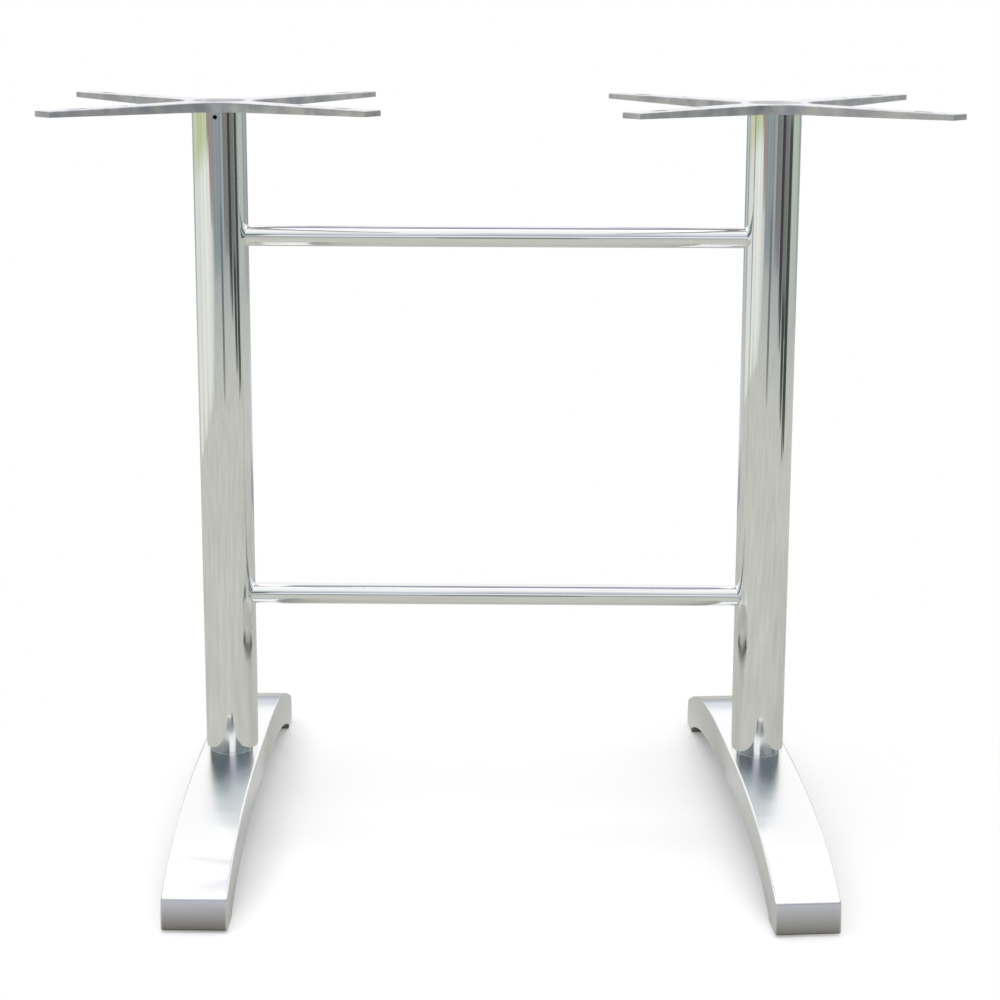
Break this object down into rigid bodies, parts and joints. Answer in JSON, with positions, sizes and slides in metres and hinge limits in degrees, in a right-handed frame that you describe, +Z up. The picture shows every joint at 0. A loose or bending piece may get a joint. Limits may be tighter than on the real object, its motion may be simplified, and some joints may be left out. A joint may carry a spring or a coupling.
{
  "type": "bar table base",
  "caption": "Free-standing H-frame bar table base: polished tube columns on arched cast feet, tied by round crossbars, with cross-shaped spiders that screw to a table top.",
  "frame": {"origin": "on the floor, midway between the columns", "axes": "+Z up, +X along the crossbars from the left column to the right one, -Y the front"},
  "size_m": [1.2436, 0.7538, 1.065],
  "materials": {
    "polished_tube": "mirror polished drawn tube",
    "cast_aluminium_foot": "cast, polished top and satin sides",
    "cast_aluminium_spider": "cast, linished top and tumbled sides",
    "turned_aluminium": "turned",
    "zinc_plated_steel": "zinc plated",
    "black_steel": "black oxide",
    "nylon": "moulded matt"
  },
  "bodies": {
    "root": {"crossbar_bolts": "zinc_plated_steel", "crossbar_saddle_washers": "zinc_plated_steel", "left_column": "polished_tube", "left_foot": "cast_aluminium_foot", "left_front_glide": "nylon", "left_rear_glide": "nylon", "left_spider": "cast_aluminium_spider", "left_tie_rod": "zinc_plated_steel", "lower_crossbar": "polished_tube", "lower_left_plug": "turned_aluminium", "lower_right_plug": "turned_aluminium", "right_column": "polished_tube", "right_foot": "cast_aluminium_foot", "right_front_glide": "nylon", "right_rear_glide": "nylon", "right_spider": "cast_aluminium_spider", "right_tie_rod": "zinc_plated_steel", "rod_bottom_nuts": "zinc_plated_steel", "rod_bottom_washers": "zinc_plated_steel", "rod_top_nuts": "zinc_plated_steel", "rod_top_washers": "zinc_plated_steel", "spider_set_screws": "black_steel", "upper_crossbar": "polished_tube", "upper_left_plug": "turned_aluminium", "upper_right_plug": "turned_aluminium"}
  },
  "joints": []
}
